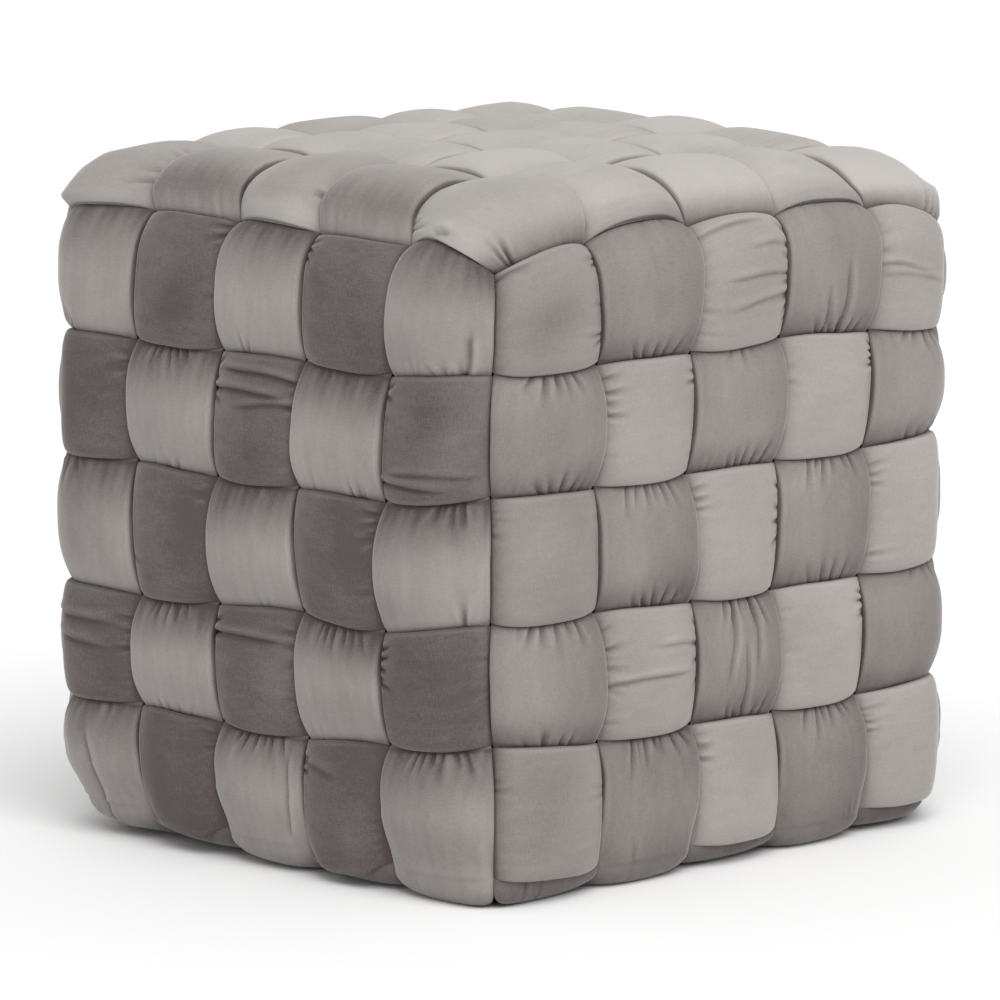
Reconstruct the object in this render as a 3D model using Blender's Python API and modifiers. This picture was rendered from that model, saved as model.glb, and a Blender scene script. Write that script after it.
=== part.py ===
"""Cube pouf stool: fifteen padded velvet straps woven over and under one another, five to a face.

Metres, +Z up, the origin on the floor at the middle of the pouf's box. Three families of straps
make the weave. Five bands run round the walls, one to a row. Five front straps climb the front
wall (-Y), cross the top and go down the back, one to a column. Five side straps climb the right
wall (+X), cross the top and go down the left. Where two straps cross, one arches over the other,
and the next crossing is the other way round. The ends of the climbing straps turn under the foot,
where a flat base panel closes the pouf.

Every strap lies along one surface, the skin, on which the weave's corner points sit. A strap's
arches stand outside the skin and its dips inside.
"""

import bmesh
import bpy
import numpy as np

# The weave's grid, on the skin: five columns and five rows to a wall.
COLUMN = 0.0785  # a middle column
END_COLUMN = 0.0895  # the column beside a corner
ROW = 0.0786
HALF = END_COLUMN + 1.5 * COLUMN  # from the middle of the pouf to the skin
FOOT_LEVEL = 0.014  # the lower edge of the lowest band
RIM_LEVEL = FOOT_LEVEL + 5 * ROW  # the upper edge of the highest band
TOP_LEVEL = 0.4275  # the skin of the top
RIM_DROP = TOP_LEVEL - RIM_LEVEL  # how far the top's outer straps reach down the walls

# How the skin is rounded.
SIDE_ROUND = 0.048  # the standing corners, seen from above
NEAR_FOOT_ROUND = 0.016  # the same at the foot of the near corner, where the straps are pulled sharper
TOP_ROUND_DOWN = 0.050  # the rim, seen from the side
LEFT_ROUND_DOWN = 0.030  # the same at the left corner, which stands up fuller
FOOT_ROUND_UP = 0.0105  # the foot, seen from the side
FOOT_TUCK = 0.040  # the left and right corners taper in by this share at the foot
TOP_DOME = 0.006  # the middle of the top above its sides
TOP_TILT = 0.008  # the top's left side above its right side
RIGHT_DROOP = 0.010  # how far the right corner of the top has sunk
LEAN = 0.005  # how far the top stands towards +X and +Y, from nothing at half height

# A strap: a flat padded tube with a fold along each side.
ARCH = 0.0080  # the strap's middle layer above the skin where it crosses over
TOP_ARCH = 0.0085  # the same on the top, where the straps also bend over the rim
OVER_HALF_THICK = 0.0075
TUCK_HALF_THICK = 0.0042  # where it dives under its neighbour
UNDER_HALF_THICK = 0.0066
OVER_HALF_WIDE = 0.515  # as a share of its column or row
TUCK_HALF_WIDE = 0.43
TOP_TUCK_HALF_WIDE = 0.405
ARCH_POWER = 2.5  # a higher power makes a flatter arch with steeper ends

# Where the climbing straps turn under.
TURN_UNDER = 0.058  # length that lies under the pouf
FLAT_FROM = 0.034  # where the flap lies flat, as lengths past the foot level
BEND_TO = 0.018
BEND_FROM = 0.010
HELD_OUT = 0.0070  # how far off the skin a strap stays that is over at the foot
HELD_HALF_THICK = 0.0058
HELD_HALF_WIDE = 0.495
FLAP_HALF_THICK = 0.0050
FLAP_LEVEL = 0.0025  # its middle layer; what would reach below the floor is pressed flat
BASE_HALF = 0.170
BASE_THICK = 0.012
BASE_GAP = 0.0011
BASE_CORNER = 0.004

# The stations along one crossing, from its start at -0.5, and round one section, as
# (share of the half width, share of the half thickness), the outer side first.
OVER_STATIONS = (-0.5, -0.36, -0.12, 0.12, 0.36)
UNDER_STATIONS = (-0.5, -0.26, 0.26)
INNER_SHARE = 0.8
SECTION = (
    (-1.0, 0.0), (-0.8, 0.72), (0.0, 1.0), (0.8, 0.72), (1.0, 0.0), (0.6, -INNER_SHARE), (-0.6, -INNER_SHARE),
)
# A strap that lies over the rim lengthwise bends across its width, so its inner side has a middle point.
RIM_SECTION = SECTION[:-1] + ((0.0, -0.74),) + SECTION[-1:]

# How far the weave's corner points stray from an even grid, in millimetres. A row is a level, from
# the rim down to the foot. A column is a line from the left corner (0) across the front to the near
# corner (5) and across the right wall to its far corner (10).
STRAY_ALONG = (
    (0, 6, 9, 5, 10, 0, -7, 4, 5, 8, 0),
    (0, -1, 3, 2, 2, 0, -1, 2, 3, 6, 0),
    (0, 1, -1, -3, -2, 0, -2, 0, 1, 3, 0),
    (0, 3, 0, 1, -3, 0, -1, 5, -2, 0, 0),
    (0, 2, 1, 3, -1, 0, 0, 3, -2, -3, 0),
    (0, 1, 1, 2, 0, 0, -2, 2, 0, 2, 0),
)
STRAY_UP = (
    (6, 10, 8, 4, 2, -10, 0, 5, 4, 4, -16),
    (0, 0, -1, -1, -4, 1, 1, 0, 2, -2, -6),
    (0, 0, -3, -3, -4, 4, 3, 3, 2, 2, 5),
    (-6, -8, -6, -2, -7, 4, 4, 0, -1, -2, 2),
    (-1, -1, -3, -4, 1, 7, 1, 1, -1, 0, 3),
    (5, 4, 3, 2, 3, 4, 0, 1, 0, 2, 2),
)
FAR_CORNER_UP = (8, 4, 0, 0, 0, 2)  # the corner between the back and the left wall

GREY_VELVET = (0.27, 0.25, 0.235, 1.0)
DARK_CLOTH = (0.02, 0.02, 0.022, 1.0)

LINES = np.array((-HALF, -1.5 * COLUMN, -0.5 * COLUMN, 0.5 * COLUMN, 1.5 * COLUMN, HALF))
TOP_LINES = LINES + RIM_DROP * np.array((-1, 0, 0, 0, 0, 1))


def all_round(seen, sign, far_corner):
    """A stray table for all 20 lines round the pouf: the back repeats the front and the left the right."""
    seen = np.array(seen, float)
    back = sign * seen[:, 4:0:-1]
    left = sign * seen[:, 9:5:-1]
    far = np.array(far_corner, float)[:, None]
    return 0.001 * np.hstack((seen, back, far, left, seen[:, :1]))


ALONG = all_round(STRAY_ALONG, -1, (0,) * 6)
UP = all_round(STRAY_UP, 1, FAR_CORNER_UP)


def smooth(share):
    share = np.clip(share, 0, 1)
    return share * share * (3 - 2 * share)


def stray(table, line, level):
    """The table's value between its corner points, in soft steps."""
    line = np.mod(line, 20)
    level = np.clip(level, 0, 5)
    i = np.minimum(line.astype(int), 19)
    k = np.minimum(level.astype(int), 4)
    across = smooth(line - i)
    down = smooth(level - k)
    upper = table[k, i] * (1 - across) + table[k, i + 1] * across
    lower = table[k + 1, i] * (1 - across) + table[k + 1, i + 1] * across
    return upper * (1 - down) + lower * down


def wall(line, level, below):
    """Points of the sharp-edged box at a line round the walls and a level; below is metres past the foot level."""
    line = np.mod(line, 20)
    side = np.minimum((line // 5).astype(int), 3)
    along = np.interp(line - 5 * side, range(6), LINES) + stray(ALONG, line, level)
    height = RIM_LEVEL - ROW * np.minimum(level, 5) + stray(UP, line, level) - below
    inward = np.maximum(FLAP_LEVEL - height, 0)
    height = np.maximum(height, FLAP_LEVEL)
    # Under the foot the end columns narrow, so that two straps meet at a mitre.
    inner = LINES[4]
    narrowed = inner + (np.abs(along) - inner) * (HALF - inward - inner) / (HALF - inner)
    along = np.where(np.abs(along) > inner, np.sign(along) * narrowed, along)
    out = HALF - inward
    x = np.choose(side, (along, out, -along, -out))
    y = np.choose(side, (-out, along, out, -along))
    return np.stack((x, y, height), -1)


def top(column, row):
    """Points of the sharp-edged box at a column and a row of the top, each from 0 to 5, rims folded down the walls."""
    u = np.interp(column, range(6), TOP_LINES)
    v = np.interp(row, range(6), TOP_LINES)
    over_u = np.clip((np.abs(u) - HALF) / RIM_DROP, 0, 1)
    over_v = np.clip((np.abs(v) - HALF) / RIM_DROP, 0, 1)
    wall_u = np.interp(column, range(6), LINES)
    wall_v = np.interp(row, range(6), LINES)
    x = np.clip(u, -HALF, HALF) * (1 - over_v) + wall_u * over_v
    y = np.clip(v, -HALF, HALF) * (1 - over_u) + wall_v * over_u
    z = TOP_LEVEL - RIM_DROP * (1 - (1 - over_u) * (1 - over_v))
    # The walls' corner points stray, and the straps follow from each rim to the first line inside it.
    rims = (
        (np.clip(1 - row, 0, 1) ** 2, column, 1, 0),
        (np.clip(column - 4, 0, 1) ** 2, 5 + row, 0, 1),
        (np.clip(row - 4, 0, 1) ** 2, 15 - column, -1, 0),
        (np.clip(1 - column, 0, 1) ** 2, 20 - row, 0, -1),
    )
    total = np.maximum(sum(weight for weight, *_ in rims), 1)
    level = np.zeros_like(u)
    for weight, line, to_x, to_y in rims:
        share = weight / total
        moved = stray(ALONG, line, level)
        x = x + share * moved * to_x
        y = y + share * moved * to_y
        z = z + share * stray(UP, line, level)
    return np.stack((x, y, z), -1)


def rounded(points):
    """The sharp-edged box's points taken to the skin, with the skin's outward direction at each."""
    height = points[..., 2]
    near_corner = np.clip((points[..., 0] - points[..., 1]) / (2 * HALF), 0, 1) ** 2
    across = SIDE_ROUND + (NEAR_FOOT_ROUND - SIDE_ROUND) * near_corner * smooth(1 - height / ROW)
    left_corner = np.clip(-(points[..., 0] + points[..., 1]) / (2 * HALF), 0, 1) ** 2
    top_down = TOP_ROUND_DOWN + (LEFT_ROUND_DOWN - TOP_ROUND_DOWN) * left_corner
    down = np.where(height > HALF, top_down, FOOT_ROUND_UP)
    reach = np.stack((across, across, down), -1)
    low = np.stack((-HALF + across, -HALF + across, np.full_like(across, FLAP_LEVEL + FOOT_ROUND_UP)), -1)
    high = np.stack((HALF - across, HALF - across, TOP_LEVEL - top_down), -1)
    core = np.clip(points, low, high)
    arm = (points - core) / reach
    arm = arm / np.linalg.norm(arm, axis=-1, keepdims=True)
    outward = arm / reach
    outward = outward / np.linalg.norm(outward, axis=-1, keepdims=True)
    return core + arm * reach, outward


def settled(points):
    """How the stuffed block has settled: the top's dome and tilt, the lean and the tapered corners of the foot."""
    x, y, z = points[..., 0], points[..., 1], points[..., 2]
    dome = TOP_DOME * np.clip(1 - (x / HALF) ** 2, 0, 1) * np.clip(1 - (y / HALF) ** 2, 0, 1)
    tilt = TOP_TILT * np.clip(0.5 - 0.5 * x / HALF, 0, 1)
    droop = RIGHT_DROOP * np.maximum(x, 0) * np.maximum(y, 0) / HALF ** 2
    high = smooth((z - RIM_LEVEL) / RIM_DROP)
    lean = LEAN * np.maximum(2 * z / TOP_LEVEL - 1, 0)
    kept = 1 - FOOT_TUCK * ((x + y) / (2 * HALF)) ** 2 * smooth(1 - z / ROW)
    return np.stack((x * kept + lean, y * kept + lean, z + (dome + tilt - droop) * high), -1)


def band_path(row):
    """Where a band runs: at step s round the walls and v across it, which way round the weave goes, and its length."""

    def place(s, v):
        return wall(s, row - 0.5 - v, np.zeros_like(s))

    return place, lambda crossing: (crossing + 1 + row) % 2 == 1, 20


def climbing_path(column, first_line, back_line, on_top, top_is_over):
    """Where a strap runs that goes up one wall, over the top and down the other wall."""

    def place(s, v):
        across = column - 0.5 + v
        middle = np.clip(s, 0, 15)
        up = wall(first_line + across, 5 - np.minimum(middle, 5), np.maximum(-s, 0))
        over = top(*on_top(across, np.clip(middle - 5, 0, 5)))
        down = wall(back_line - across, np.maximum(middle - 10, 0), np.maximum(s - 15, 0))
        on_first = (s < 5)[..., None]
        on_last = (s > 10)[..., None]
        return np.where(on_first, up, np.where(on_last, down, over))

    def over(crossing):
        if crossing < 5:
            return (first_line + column + 5 - crossing) % 2 == 0
        if crossing < 10:
            return top_is_over(column, crossing - 4)
        return (back_line - column + 1 + crossing - 9) % 2 == 0

    return place, over, 15


def front_path(column):
    return climbing_path(
        column, 0, 15,
        lambda across, along: (across, along),
        lambda a, b: (a + b) % 2 == 1,
    )


def side_path(row):
    return climbing_path(
        row, 5, 20,
        lambda across, along: (5 - along, across),
        lambda b, step: (6 - step + b) % 2 == 0,
    )


def stations_of(over, crossings, top_steps=(0, -1)):
    """Each station as (step along the strap, lift off the skin, half thickness, half width)."""
    made = []
    for crossing in range(crossings):
        is_over = over(crossing)
        for local in OVER_STATIONS if is_over else UNDER_STATIONS:
            step = crossing + 0.5 + local
            bell = 1 - abs(2 * local) ** ARCH_POWER
            on_top = top_steps[0] <= step <= top_steps[1]
            arch = TOP_ARCH if on_top else ARCH
            tuck = TOP_TUCK_HALF_WIDE if on_top else TUCK_HALF_WIDE
            peak = OVER_HALF_THICK if is_over else UNDER_HALF_THICK
            wide = OVER_HALF_WIDE if is_over else tuck
            made.append((
                step,
                arch * bell if is_over else -arch * bell,
                TUCK_HALF_THICK + (peak - TUCK_HALF_THICK) * bell,
                tuck + (wide - tuck) * bell,
            ))
    return made


def foot_stations(over_at_foot):
    """The stations from the end of the flap up to the foot level, as stations_of gives them."""
    lift = 0.6 * HELD_OUT if over_at_foot else 0.0
    wide = HELD_HALF_WIDE if over_at_foot else TUCK_HALF_WIDE
    return [
        (-TURN_UNDER, 0.0, FLAP_HALF_THICK, TUCK_HALF_WIDE),
        (-FLAT_FROM, 0.0, FLAP_HALF_THICK, TUCK_HALF_WIDE),
        (-BEND_TO, lift / 3, FLAP_HALF_THICK, 0.5 * (wide + TUCK_HALF_WIDE)),
        (-BEND_FROM, lift, TUCK_HALF_THICK, wide),
    ]


def climbing_stations(over, crossings):
    """Stations of a whole climbing strap. One that is over at the lowest row stays out down to the foot."""
    middle = stations_of(over, crossings, top_steps=(5, 10))
    foot = foot_stations(over(0))
    tail = [(crossings - s, *rest) for s, *rest in reversed(foot_stations(over(crossings - 1)))]
    if over(0):
        low = [row for row in middle if row[0] < 0.5]
        middle = [held_out(row) for row in low] + middle[len(low):]
    if over(crossings - 1):
        low = [row for row in middle if row[0] > crossings - 0.5]
        middle = middle[:-len(low)] + [held_out(row) for row in low]
        last = (crossings, HELD_OUT, TUCK_HALF_THICK, HELD_HALF_WIDE)
    else:
        last = (crossings, 0.0, TUCK_HALF_THICK, TUCK_HALF_WIDE)
    return foot + middle + [last] + tail


def held_out(row):
    s, lift, thick, wide = row
    return s, max(lift, HELD_OUT), max(thick, HELD_HALF_THICK), max(wide, HELD_HALF_WIDE)


def section_points(place, station, section):
    """The points round one section of a strap, on their way round the skin."""
    s, lift, thick, wide = station
    shares = np.array(section)
    across = wide * shares[:, 0]
    skin, outward = rounded(place(np.full(len(shares), float(s)), across))
    off_skin = lift + thick * shares[:, 1]
    points = settled(skin + outward * off_skin[:, None])
    points[:, 2] = np.maximum(points[:, 2], 0)
    return points


def keep(made, name, material, collection):
    """Names an object that was just added, gives it its material and moves it to the pouf's collection."""
    made.name = name
    made.data.name = name
    made.data.materials.clear()
    made.data.materials.append(material)
    made.data.shade_smooth()
    made.data.set_sharp_from_angle(angle=np.radians(50))
    for other in list(made.users_collection):
        other.objects.unlink(made)
    collection.objects.link(made)
    return made


def strap(name, place, stations, section, closed, material, collection):
    """A strap: a torus whose sections are laid at the stations. An open one is parted and its ends are capped."""
    count = len(stations)
    around = len(section)
    bpy.ops.mesh.primitive_torus_add(major_segments=count, minor_segments=around)
    made = bpy.context.object
    points = np.concatenate([section_points(place, station, section) for station in stations])
    made.data.vertices.foreach_set("co", points.ravel())
    shape = bmesh.new()
    shape.from_mesh(made.data)
    if not closed:
        first = set(range(around))
        last = set(range((count - 1) * around, count * around))
        joining = []
        for face in shape.faces:
            corners = {corner.index for corner in face.verts}
            if corners & first and corners & last:
                joining.append(face)
        bmesh.ops.delete(shape, geom=joining, context="FACES")
        bmesh.ops.holes_fill(shape, edges=shape.edges)
    bmesh.ops.recalc_face_normals(shape, faces=shape.faces)
    shape.to_mesh(made.data)
    shape.free()
    return keep(made, name, material, collection)


def surface_finish(name, colour, roughness):
    material = bpy.data.materials.new(name)
    material.use_nodes = True
    shader = material.node_tree.nodes["Principled BSDF"]
    shader.inputs["Base Color"].default_value = colour
    shader.inputs["Roughness"].default_value = roughness
    shader.inputs["Metallic"].default_value = 0.0
    return material


def base_panel(material, collection):
    """The flat panel that closes the pouf above the turned-under strap ends."""
    lowest = FLAP_LEVEL + INNER_SHARE * FLAP_HALF_THICK + BASE_GAP
    bpy.ops.mesh.primitive_cube_add(size=1)
    made = bpy.context.object
    for corner in made.data.vertices:
        corner.co.x *= 2 * BASE_HALF
        corner.co.y *= 2 * BASE_HALF
        corner.co.z = lowest + (corner.co.z + 0.5) * BASE_THICK
    bevel = made.modifiers.new("edges", "BEVEL")
    bevel.width = BASE_CORNER
    bevel.segments = 2
    return keep(made, "base_panel", material, collection)


def build():
    for old in list(bpy.data.objects):
        bpy.data.objects.remove(old)
    collection = bpy.data.collections.new("cube_pouf_stool")
    bpy.context.scene.collection.children.link(collection)
    velvet = surface_finish("strap_velvet", GREY_VELVET, 0.85)
    lining = surface_finish("base_cloth", DARK_CLOTH, 0.95)
    straps = []
    for number in range(1, 6):
        place, over, crossings = band_path(number)
        stations = stations_of(over, crossings)
        straps.append(strap(f"band_{number}", place, stations, SECTION, True, velvet, collection))
        for family, path in (("front_strap", front_path), ("side_strap", side_path)):
            place, over, crossings = path(number)
            stations = climbing_stations(over, crossings)
            section = RIM_SECTION if number in (1, 5) else SECTION
            straps.append(strap(f"{family}_{number}", place, stations, section, False, velvet, collection))
    straps.append(base_panel(lining, collection))
    corners = np.array([vertex.co for made in straps for vertex in made.data.vertices])
    middle = (corners.min(axis=0) + corners.max(axis=0)) / 2
    for made in straps:
        for vertex in made.data.vertices:
            vertex.co.x -= middle[0]
            vertex.co.y -= middle[1]


build()
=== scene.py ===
"""The woven cube pouf, dressed: fifteen padded velvet straps over a dark base panel, on a pale floor."""

import bpy
import numpy as np
from mathutils import Matrix, Vector


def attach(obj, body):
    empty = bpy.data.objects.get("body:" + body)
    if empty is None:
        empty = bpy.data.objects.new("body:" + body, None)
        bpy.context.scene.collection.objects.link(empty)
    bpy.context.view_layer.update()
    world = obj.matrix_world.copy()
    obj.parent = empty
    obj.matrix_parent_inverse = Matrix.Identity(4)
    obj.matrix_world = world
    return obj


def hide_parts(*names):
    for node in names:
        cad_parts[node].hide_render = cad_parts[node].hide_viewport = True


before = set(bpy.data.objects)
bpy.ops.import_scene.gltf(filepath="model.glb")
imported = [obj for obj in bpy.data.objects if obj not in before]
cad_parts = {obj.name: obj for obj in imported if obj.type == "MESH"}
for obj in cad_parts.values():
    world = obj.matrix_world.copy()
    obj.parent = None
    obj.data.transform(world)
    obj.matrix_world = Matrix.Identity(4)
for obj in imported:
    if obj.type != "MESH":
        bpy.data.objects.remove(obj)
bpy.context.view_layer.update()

bpy.ops.object.select_all(action="DESELECT")

# ---------------------------------------------------------------------------------------------
# Base panel: a flat board wrapped in thin black dust cloth. That is a guess, since the photograph
# doesn't show the underside. It lies above the turned-under strap ends and keeps its CAD shape.

DUST_CLOTH_DARK = (0.011, 0.011, 0.012, 1.0)
DUST_CLOTH_LIGHT = (0.040, 0.040, 0.043, 1.0)


def add_node(tree, kind, at, **settings):
    """A node of a material or group, with its inputs set by name."""
    node = tree.nodes.new(kind)
    node.location = at
    for name, value in settings.items():
        if name in node.inputs:
            node.inputs[name].default_value = value
        else:
            setattr(node, name, value)
    return node


def short_fibres_group():
    """Cloth fibres seen up close, and broad patches, from noise: for the velvet and the dust cloth."""
    group = bpy.data.node_groups.new("short_fibres", "ShaderNodeTree")
    group.interface.new_socket("Position", in_out="INPUT", socket_type="NodeSocketVector")
    for name in ("Fibre Scale", "Patch Scale"):
        group.interface.new_socket(name, in_out="INPUT", socket_type="NodeSocketFloat")
    for name in ("Fibres", "Patches"):
        group.interface.new_socket(name, in_out="OUTPUT", socket_type="NodeSocketFloat")
    given = add_node(group, "NodeGroupInput", (-600, 0))
    fine = add_node(group, "ShaderNodeTexNoise", (-300, 150), Detail=2.0, Roughness=0.6)
    broad = add_node(group, "ShaderNodeTexNoise", (-300, -150), Detail=3.0, Roughness=0.5)
    out = add_node(group, "NodeGroupOutput", (100, 0))
    group.links.new(given.outputs["Position"], fine.inputs["Vector"])
    group.links.new(given.outputs["Position"], broad.inputs["Vector"])
    group.links.new(given.outputs["Fibre Scale"], fine.inputs["Scale"])
    group.links.new(given.outputs["Patch Scale"], broad.inputs["Scale"])
    group.links.new(fine.outputs["Fac"], out.inputs["Fibres"])
    group.links.new(broad.outputs["Fac"], out.inputs["Patches"])
    return group


short_fibres = short_fibres_group()


def dust_cloth():
    """Thin black non-woven cloth: dull, with pale flecks of fibre."""
    material = bpy.data.materials.new("base_cloth")
    material.use_nodes = True
    tree = material.node_tree
    shader = tree.nodes["Principled BSDF"]
    shader.inputs["Sheen Weight"].default_value = 0.12
    shader.inputs["Sheen Roughness"].default_value = 0.6
    where = add_node(tree, "ShaderNodeTexCoord", (-1100, 0))
    fibres = add_node(tree, "ShaderNodeGroup", (-850, 0), node_tree=short_fibres)
    fibres.inputs["Fibre Scale"].default_value = 900.0
    fibres.inputs["Patch Scale"].default_value = 60.0
    flecks = add_node(tree, "ShaderNodeMapRange", (-600, 100), **{"From Min": 0.35, "From Max": 0.75})
    colour = add_node(tree, "ShaderNodeMix", (-350, 100), data_type="RGBA")
    colour.inputs["A"].default_value = DUST_CLOTH_DARK
    colour.inputs["B"].default_value = DUST_CLOTH_LIGHT
    dull = add_node(tree, "ShaderNodeMapRange", (-350, -150), **{"To Min": 0.85, "To Max": 1.0})
    bump = add_node(tree, "ShaderNodeBump", (-350, -400), Strength=0.4, Distance=0.0004)
    tree.links.new(where.outputs["Object"], fibres.inputs["Position"])
    tree.links.new(fibres.outputs["Fibres"], flecks.inputs["Value"])
    tree.links.new(flecks.outputs["Result"], colour.inputs["Factor"])
    tree.links.new(colour.outputs["Result"], shader.inputs["Base Color"])
    tree.links.new(fibres.outputs["Patches"], dull.inputs["Value"])
    tree.links.new(dull.outputs["Result"], shader.inputs["Roughness"])
    tree.links.new(fibres.outputs["Fibres"], bump.inputs["Height"])
    tree.links.new(bump.outputs["Normal"], shader.inputs["Normal"])
    return material


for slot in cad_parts["base_panel"].material_slots:
    slot.material = dust_cloth()

# ---------------------------------------------------------------------------------------------
# Bands: five padded velvet straps, one to a row, each a ring right round the walls that closes at
# the left corner without a seam. Each is a tube of velvet over soft wadding, folded flat along
# its two edges, and it puckers where it dives under a climbing strap.

MM = 0.001
AROUND = 20  # crossings of a band, and lines round the pouf: five to a wall
CLIMB = 15  # crossings of a climbing strap: five up, five over the top and five down

COLUMN = 0.0785  # in metres, as are the sizes below
END_COLUMN = 0.0895  # the column beside a corner
ROW = 0.0786
HALF = END_COLUMN + 1.5 * COLUMN  # from the middle of the pouf to the weave's middle layer
FOOT_LEVEL = 0.014
RIM_LEVEL = FOOT_LEVEL + 5 * ROW
TOP_LEVEL = 0.4275
RIM_DROP = TOP_LEVEL - RIM_LEVEL
MIDDLE = (0.00192, 0.00190)  # the middle of the finished pouf's box

# How far the edges of the block under the weave are rounded: the upright ones, then the rim and the foot.
SIDE_ROUND = 0.048
NEAR_FOOT_ROUND = 0.016
LEFT_TOP_ROUND = 0.028
TOP_ROUND_DOWN = 0.050
LEFT_ROUND_DOWN = 0.046  # as TOP_ROUND_DOWN, at the left corner
FOOT_ROUND_UP = 0.0105
FOOT_TURN = 0.019  # as FOOT_ROUND_UP, but for which way is outward, so that a strap rolls under gently
# How the stuffed block has settled.
FOOT_TUCK = 0.040  # as a share, how far the foot is drawn in at the left corner
RIGHT_FOOT_TUCK = 0.012  # and at the right one
LEFT_FOOT_RISE = 0.0085
TOP_DOME = 0.005
TOP_TILT = 0.006
RIGHT_DROOP = 0.010
LEFT_DROOP = 0.012
LEAN = 0.005
FLAP_LEVEL = 0.0025  # where the turned-under ends lie
FLOOR_GAP = 0.0002

# How far the weave's corner points stray from an even grid, in millimetres: a row for each level,
# from the rim to the foot, and a column for each line from the left corner across to the right one.
STRAY_ALONG = (
    (0, 6, 9, 5, 10, 0, -7, 4, 5, 8, 0),
    (0, -1, 3, 2, 2, 0, -1, 2, 3, 6, 0),
    (0, 1, -1, -3, -2, 0, -2, 0, 1, 3, 0),
    (0, 3, 0, 1, -3, 0, -1, 5, -2, 0, 0),
    (0, 2, 1, 3, -1, 0, 0, 3, -2, -3, 0),
    (0, 1, 1, 2, 0, 0, -2, 2, 0, 2, 0),
)
STRAY_UP = (
    (6, 10, 8, 4, 2, -10, 0, 5, 4, 1, -21),
    (0, 0, -1, -1, -4, 1, 1, 0, 2, -2, -6),
    (0, 0, -3, -3, -4, 4, 3, 3, 2, 2, 5),
    (-6, -8, -6, -2, -7, 4, 4, 0, -1, -2, 2),
    (-1, -1, -3, -4, 1, 7, 1, 1, -1, 0, 3),
    (5, 4, 3, 2, 3, 4, 0, 1, 0, 2, 2),
)
FAR_CORNER_UP = (8, 4, 0, 0, 0, 2)
# How far the rim bows up between its corner points, in mm, from each of the 20 lines round the pouf to the
# next: down where a top strap lies over the highest band, up where a side strap climbs under a full one.
RIM_BOW = MM * np.array((0, -5, 0, -5, 8, 0, 10, 0, 8, 0, 0, -5, 0, -4, 0, 0, 6, 0, 8, 0))

LINES = np.array((-HALF, -1.5 * COLUMN, -0.5 * COLUMN, 0.5 * COLUMN, 1.5 * COLUMN, HALF))
TOP_LINES = LINES + RIM_DROP * np.array((-1, 0, 0, 0, 0, 1))


def all_round(seen, sign, far_corner):
    """A stray table for all 20 lines round the pouf: the back repeats the front and the left the right."""
    seen = np.array(seen, float)
    far = np.array(far_corner, float)[:, None]
    return MM * np.hstack((seen, sign * seen[:, 4:0:-1], far, sign * seen[:, 9:5:-1], seen[:, :1]))


ALONG = all_round(STRAY_ALONG, -1, (0,) * 6)
UP = all_round(STRAY_UP, 1, FAR_CORNER_UP)


def smooth(share):
    share = np.clip(share, 0, 1)
    return share * share * (3 - 2 * share)


def stray(table, line, level):
    """The table's value between its corner points, in soft steps."""
    line = np.mod(line, AROUND)
    level = np.clip(level, 0, 5)
    i = np.minimum(line.astype(int), AROUND - 1)
    k = np.minimum(level.astype(int), 4)
    across = smooth(line - i)
    down = smooth(level - k)
    upper = table[k, i] * (1 - across) + table[k, i + 1] * across
    lower = table[k + 1, i] * (1 - across) + table[k + 1, i + 1] * across
    return upper * (1 - down) + lower * down


def raised(line, level):
    """How far the weave stands above an even grid: the corner points' stray, and the bows of the rim."""
    line = np.mod(line, AROUND)
    bow = RIM_BOW[np.minimum(line.astype(int), AROUND - 1)] * (1 - np.abs(2 * np.mod(line, 1) - 1) ** 2.8)
    return stray(UP, line, level) + bow * np.clip(1 - level, 0, 1) ** 2


def wall(line, level, below):
    """Points of the sharp-edged box at a line round the walls and a level, or below the foot by metres."""
    line = np.mod(line, AROUND)
    side = np.minimum((line // 5).astype(int), 3)
    along = np.interp(line - 5 * side, range(6), LINES) + stray(ALONG, line, level)
    height = RIM_LEVEL - ROW * np.minimum(level, 5) + raised(line, level) - below
    # Below the foot it turns in under the pouf, and draws together at the corners.
    inward = np.maximum(FLAP_LEVEL - height, 0)
    height = np.maximum(height, FLAP_LEVEL)
    inner = LINES[4]
    narrowed = inner + (np.abs(along) - inner) * (HALF - inward - inner) / (HALF - inner)
    along = np.where(np.abs(along) > inner, np.sign(along) * narrowed, along)
    out = HALF - inward
    x = np.choose(side, (along, out, -along, -out))
    y = np.choose(side, (-out, along, out, -along))
    return np.stack((x, y, height), -1)


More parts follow.
